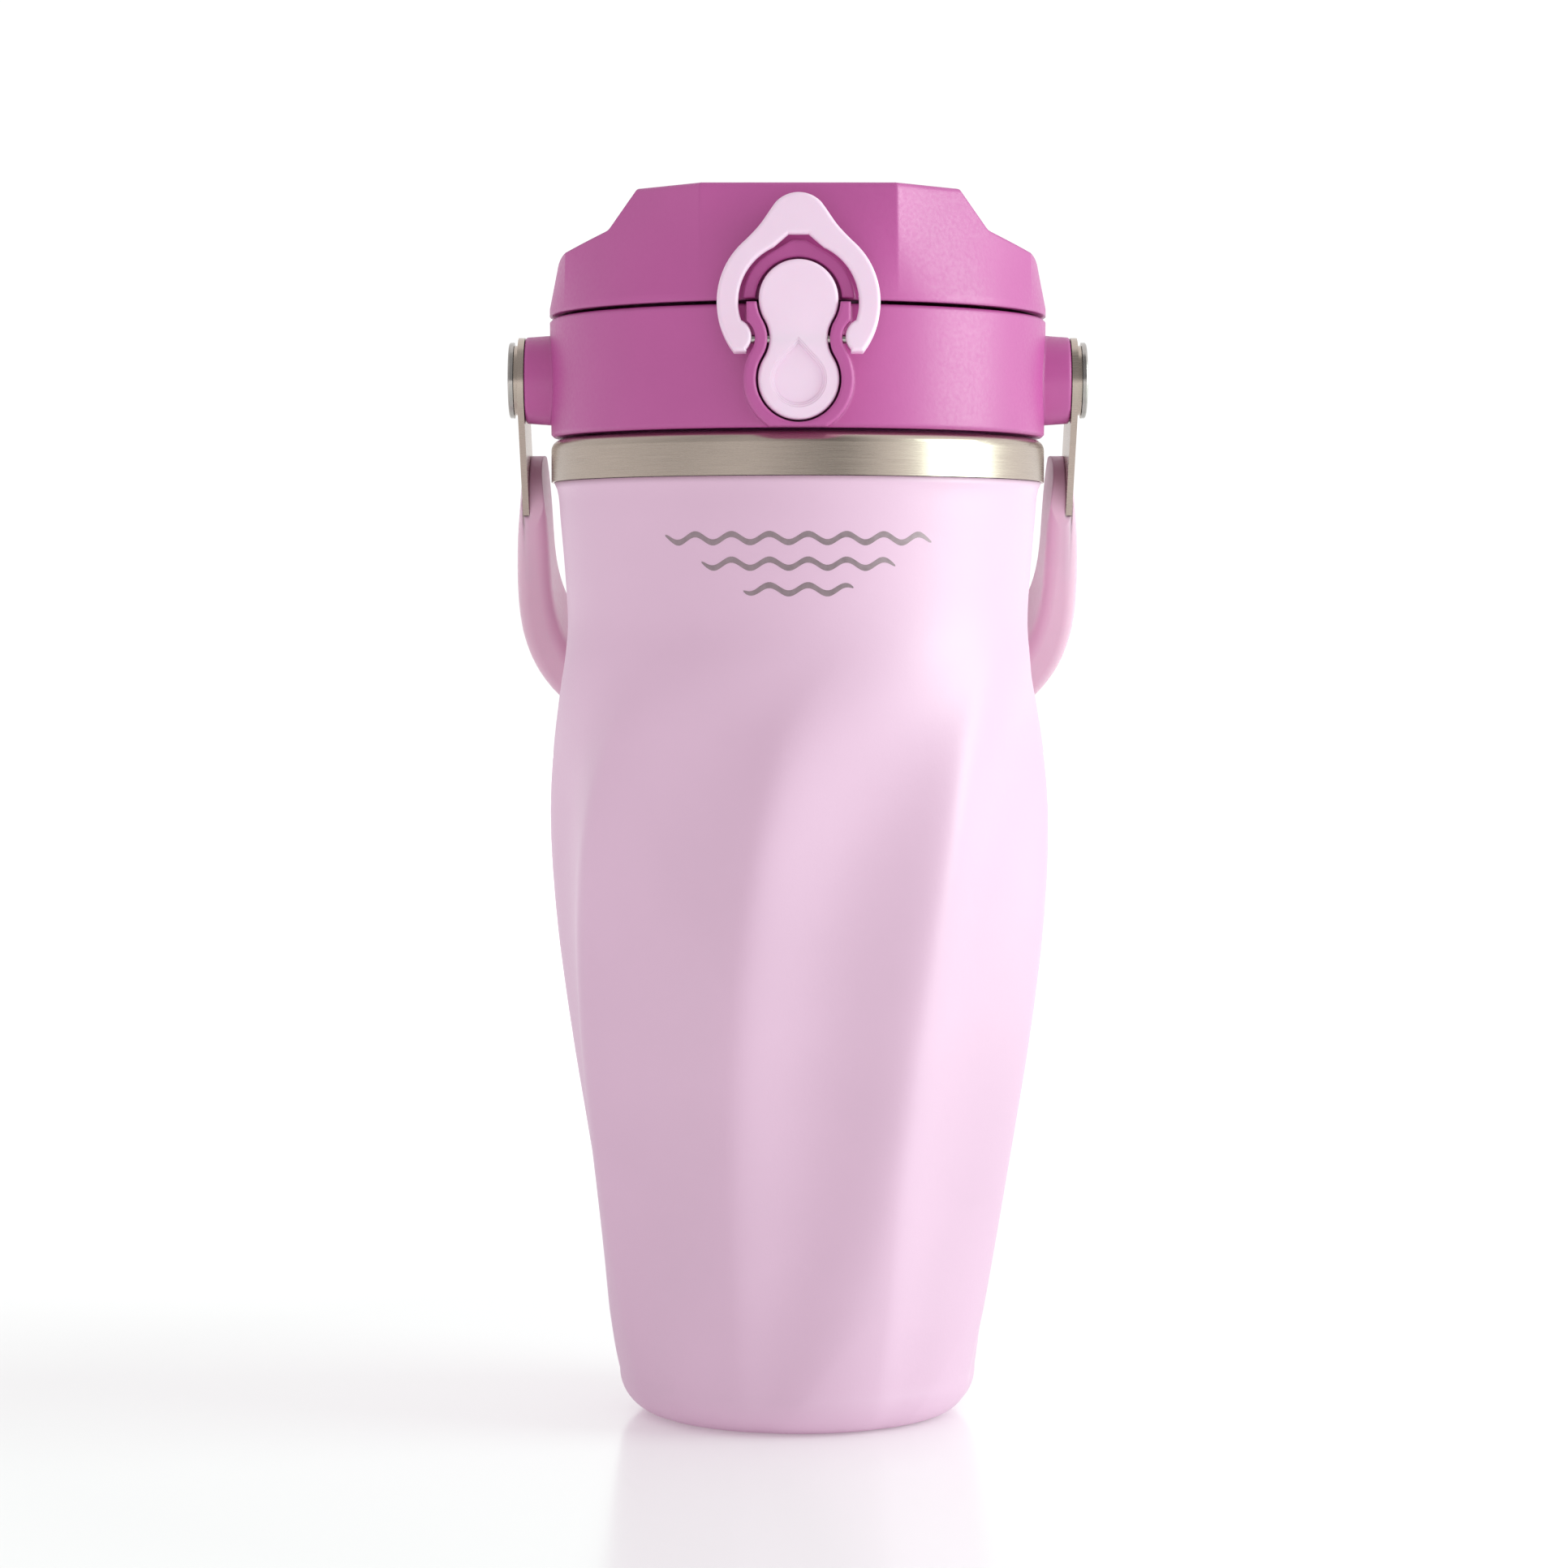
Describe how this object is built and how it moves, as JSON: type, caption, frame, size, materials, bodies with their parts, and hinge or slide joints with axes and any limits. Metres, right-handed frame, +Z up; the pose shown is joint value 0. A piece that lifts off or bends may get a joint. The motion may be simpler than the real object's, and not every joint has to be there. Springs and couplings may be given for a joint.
{
  "type": "protein shaker bottle",
  "caption": "Insulated shaker bottle with twisted flutes, a flip-top lid with a push latch and lock ring, a spout and a carry handle that swings over the lid.",
  "frame": {"origin": "centre of the flat base, on the surface that the bottle stands on", "axes": "+Z up along the bottle's axis, -Y towards the latch, +X towards the right-hand handle pivot seen from the latch side"},
  "size_m": [0.1096, 0.1143, 0.2295],
  "materials": {
    "powder_coat": "fine matte powder coat",
    "brushed_steel": "brushed round the axis",
    "liner_steel": "electropolished",
    "polished_steel": "polished",
    "lid_plastic": "fine moulded texture",
    "latch_plastic": "satin",
    "grip_plastic": "satin",
    "silicone": "soft silicone"
  },
  "bodies": {
    "bottle": {"outer_shell": "powder_coat", "base_plate": "brushed_steel", "inner_liner": "liner_steel", "rim_band": "brushed_steel", "vacuum_getter": "liner_steel"},
    "gasket": {"lid_gasket": "silicone"},
    "lid": {"lid_collar": "lid_plastic", "lid_plug": "lid_plastic", "mixing_grid": "latch_plastic", "hinge_pin": "polished_steel", "hinge_spring": "polished_steel", "latch_pin": "polished_steel", "button_spring": "polished_steel", "pivot_rivet_left": "polished_steel", "pivot_rivet_right": "polished_steel", "pivot_washer_left": "brushed_steel", "pivot_washer_right": "brushed_steel", "pivot_sleeve_left": "polished_steel", "pivot_sleeve_right": "polished_steel"},
    "cover": {"flip_cover": "lid_plastic", "spout_seal": "silicone", "vent_seal": "silicone"},
    "button": {"latch_button": "latch_plastic"},
    "lock_ring": {"lock_ring": "latch_plastic"},
    "handle": {"strap_left": "brushed_steel", "strap_right": "brushed_steel", "handle_grip": "grip_plastic"}
  },
  "joints": [
    {"name": "lid_lift", "type": "slide", "parent": "bottle", "child": "gasket", "axis": [0, 0, 1], "range_m": [0, 0.0262]},
    {"name": "lid_turn", "type": "hinge", "parent": "gasket", "child": "lid", "pos_m": [0, 0, 0.185], "axis": [0, 0, 1], "range_deg": [0, 780]},
    {"name": "cover_hinge", "type": "hinge", "parent": "lid", "child": "cover", "pos_m": [0, 0.0485, 0.208], "axis": [-1, 0, 0], "range_deg": [0, 115]},
    {"name": "button_rock", "type": "hinge", "parent": "lid", "child": "button", "pos_m": [0, -0.04945, 0.2009], "axis": [1, 0, 0], "range_deg": [0, 5], "stiffness_Nm_per_rad": 0.5, "springref_deg": -2.86},
    {"name": "lock_ring_flip", "type": "hinge", "parent": "lid", "child": "lock_ring", "pos_m": [0, -0.04945, 0.2009], "axis": [1, 0, 0], "range_deg": [0, 150]},
    {"name": "handle_swing", "type": "hinge", "parent": "lid", "child": "handle", "pos_m": [0, 0, 0.1963], "axis": [1, 0, 0], "range_deg": [0, 280]}
  ],
  "couplings": [
    {"joint": "lid_lift", "follows": "lid_turn", "m_per_rad": 0.0019099}
  ]
}
